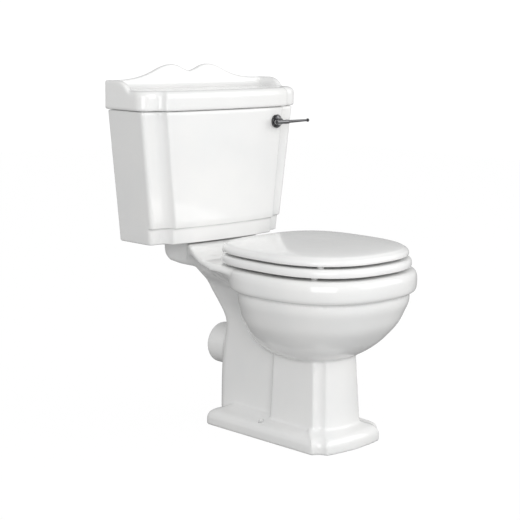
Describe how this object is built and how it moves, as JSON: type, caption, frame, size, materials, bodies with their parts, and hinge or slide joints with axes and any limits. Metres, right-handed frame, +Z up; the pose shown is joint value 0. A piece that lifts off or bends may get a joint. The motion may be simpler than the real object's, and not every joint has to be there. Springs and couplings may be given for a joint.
{
  "type": "close coupled toilet",
  "caption": "Floor-standing toilet with a horizontal outlet, a cistern bolted on the pan's shelf, a siphon flush with a front lever, and a hinged seat and cover.",
  "frame": {"origin": "on the floor, at the middle of the object's width and depth", "axes": "X to the right seen from the front, Y from the front towards the wall, Z up"},
  "size_m": [0.508, 0.655, 0.8342],
  "materials": {
    "white_glaze": "gloss",
    "seat_gloss": "gloss",
    "white_buffer": "satin",
    "chrome": "polished",
    "brass": "satin",
    "steel": "zinc plated",
    "black_rubber": "matte",
    "foam_rubber": "foam",
    "white_plastic": "moulded",
    "valve_plastic": "moulded",
    "clear_flap": "sheet"
  },
  "bodies": {
    "root": {"pan": "white_glaze", "cistern_tank": "white_glaze", "siphon_tail": "white_plastic", "siphon_chamber": "white_plastic", "siphon_crown": "white_plastic", "siphon_seal": "black_rubber", "coupling_plate": "steel", "siphon_back_nut": "white_plastic", "doughnut_washer": "foam_rubber", "coupling_bolts": "steel", "coupling_rubber_washers": "black_rubber", "coupling_steel_washers": "steel", "coupling_wing_nuts": "steel", "fill_valve_shank": "white_plastic", "fill_valve_seal": "black_rubber", "fill_valve_back_nut": "white_plastic", "fill_valve_body": "valve_plastic", "valve_arm_pin": "steel", "lever_bezel": "chrome", "lever_gasket": "black_rubber", "lever_back_nut": "brass", "hinge_posts": "seat_gloss", "hinge_post_washers": "white_buffer", "hinge_bar": "chrome", "hinge_bar_caps": "chrome", "hinge_under_washers": "white_buffer", "hinge_wing_nuts": "white_plastic"},
    "seat_ring": {"seat_ring": "seat_gloss", "ring_buffers": "white_buffer", "ring_hinge_lugs": "seat_gloss", "ring_hinge_screws": "steel"},
    "seat_cover": {"seat_cover": "seat_gloss", "cover_buffers": "white_buffer", "cover_hinge_lugs": "seat_gloss", "cover_hinge_screws": "steel"},
    "flush_lever": {"lever_handle": "chrome", "lever_spindle": "brass", "lever_inner_arm": "brass", "lever_grub_screw": "steel"},
    "siphon_lift": {"siphon_piston": "white_plastic", "siphon_flap": "clear_flap", "siphon_rod": "steel", "lift_hook": "steel"},
    "cistern_lid": {"cistern_lid": "white_glaze"},
    "float_cup": {"float_cup": "valve_plastic", "float_link": "steel"},
    "valve_arm": {"valve_arm": "valve_plastic"},
    "valve_plunger": {"valve_plunger": "brass"}
  },
  "joints": [
    {"name": "seat_ring_hinge", "type": "hinge", "parent": "root", "child": "seat_ring", "pos_m": [0, 0.0915, 0.42], "axis": [-1, 0, 0], "range_deg": [0, 95]},
    {"name": "seat_cover_hinge", "type": "hinge", "parent": "seat_ring", "child": "seat_cover", "pos_m": [0, 0.0915, 0.42], "axis": [1, 0, 0], "range_deg": [-95, 0]},
    {"name": "flush_lever", "type": "hinge", "parent": "root", "child": "flush_lever", "pos_m": [0.162, 0.1775, 0.699], "axis": [0, 1, 0], "range_deg": [0, 22], "stiffness_Nm_per_rad": 0.4, "springref_deg": -5.73},
    {"name": "siphon_lift", "type": "slide", "parent": "root", "child": "siphon_lift", "axis": [0, 0, 1], "range_m": [0, 0.036]},
    {"name": "cistern_lid_lift", "type": "slide", "parent": "root", "child": "cistern_lid", "axis": [0, 0, 1], "range_m": [0, 0.15]},
    {"name": "float_rise", "type": "slide", "parent": "root", "child": "float_cup", "axis": [0, 0, 1], "range_m": [0, 0.01]},
    {"name": "valve_arm_tip", "type": "hinge", "parent": "root", "child": "valve_arm", "pos_m": [0.159, 0.2615, 0.664], "axis": [0, 1, 0], "range_deg": [0, 23.5]},
    {"name": "valve_plunger_press", "type": "slide", "parent": "root", "child": "valve_plunger", "axis": [0, 0, -1], "range_m": [0, 0.0035]}
  ],
  "couplings": [
    {"joint": "siphon_lift", "follows": "flush_lever", "m_per_rad": 0.0885},
    {"joint": "valve_arm_tip", "follows": "float_rise", "rad_per_m": 39.5},
    {"joint": "valve_plunger_press", "follows": "float_rise", "ratio": 0.32}
  ]
}
